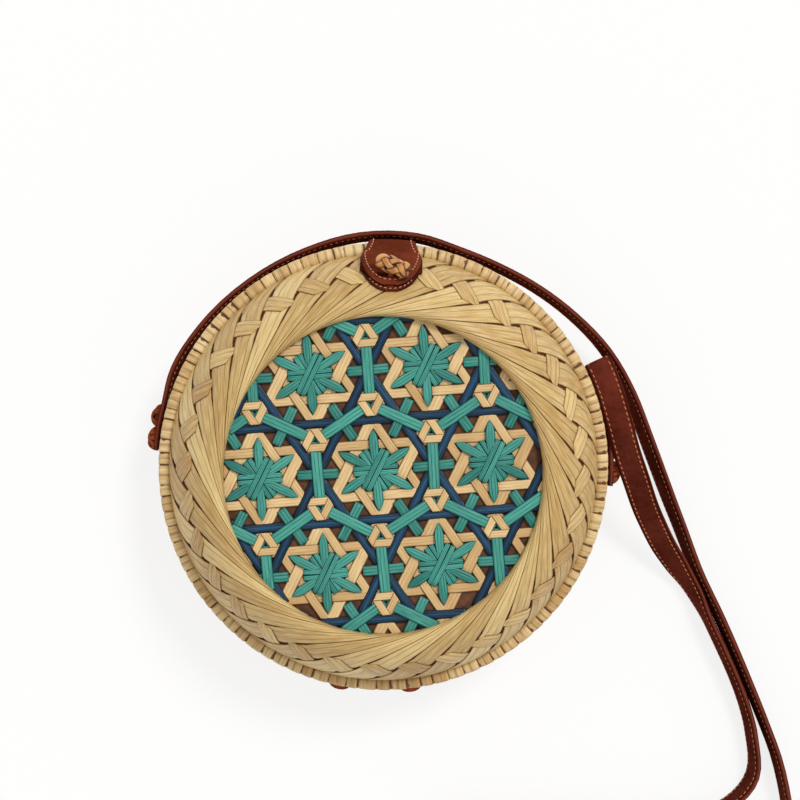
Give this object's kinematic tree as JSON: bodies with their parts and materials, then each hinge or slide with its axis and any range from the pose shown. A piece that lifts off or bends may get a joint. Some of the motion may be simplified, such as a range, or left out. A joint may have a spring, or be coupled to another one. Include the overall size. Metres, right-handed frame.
{
  "type": "round woven bag",
  "caption": "Round two-shell woven bamboo bag with star-weave panels, wrapped rims, leather hinge laces, a flap on a plaited toggle and a long stitched leather strap.",
  "frame": {"origin": "centre of the ridge ring that the bag lies on, at the level of the surface under it", "axes": "+Z out of the bag's front, +Y towards its top where the flap is, +X to the right seen from the front"},
  "size_m": [0.3052, 0.3053, 0.0818],
  "materials": {
    "natural_bamboo": "natural splint, satin",
    "woven_wall": "woven natural splint",
    "hoop_bamboo": "split cane, satin",
    "navy_bamboo": "dyed splint, satin",
    "teal_bamboo": "dyed splint, satin",
    "lining_cloth": "plain woven cloth",
    "strap_leather": "stitched, semi-gloss",
    "flap_leather": "stitched, satin",
    "lace_leather": "lace, satin",
    "plaited_leather": "plaited thong"
  },
  "bodies": {
    "back": {"back_wall": "woven_wall", "back_swirl": "natural_bamboo", "back_plait": "natural_bamboo", "back_outer_hoop": "hoop_bamboo", "back_inner_hoop": "hoop_bamboo", "back_rim_binding": "natural_bamboo", "back_lining": "lining_cloth", "back_natural_splints": "natural_bamboo", "back_navy_splints": "navy_bamboo", "back_star_splints": "teal_bamboo", "back_cross_splints": "teal_bamboo", "back_knot_splints": "natural_bamboo", "hinge_lace_left": "lace_leather", "hinge_lace_right": "lace_leather", "strap": "strap_leather", "strap_knot_left_upper": "lace_leather", "strap_knot_left_lower": "lace_leather", "strap_knot_right_upper": "lace_leather", "strap_knot_right_lower": "lace_leather", "flap_root": "flap_leather"},
    "lid": {"front_wall": "woven_wall", "front_swirl": "natural_bamboo", "front_plait": "natural_bamboo", "front_outer_hoop": "hoop_bamboo", "front_inner_hoop": "hoop_bamboo", "front_rim_binding": "natural_bamboo", "front_lining": "lining_cloth", "front_natural_splints": "natural_bamboo", "front_navy_splints": "navy_bamboo", "front_star_splints": "teal_bamboo", "front_cross_splints": "teal_bamboo", "front_knot_splints": "natural_bamboo", "closure_patch": "flap_leather"},
    "flap": {"closure_flap": "flap_leather"},
    "toggle": {"toggle_knot": "plaited_leather", "toggle_stem": "plaited_leather"}
  },
  "joints": [
    {"name": "lid_hinge", "type": "hinge", "parent": "back", "child": "lid", "pos_m": [0, -0.1005, 0.04], "axis": [1, 0, 0], "range_deg": [0, 115], "deforming": ["hinge_lace_left", "hinge_lace_right", "closure_flap"]},
    {"name": "flap_lift", "type": "hinge", "parent": "back", "child": "flap", "pos_m": [0, 0.1018, 0.0408], "axis": [-1, 0, 0], "range_deg": [0, 105], "deforming": ["closure_flap"]},
    {"name": "toggle_turn", "type": "hinge", "parent": "lid", "child": "toggle", "pos_m": [0, 0.08333, 0.07117], "axis": [0, 0.7908, 0.6121], "range_deg": [-90, 90]}
  ]
}
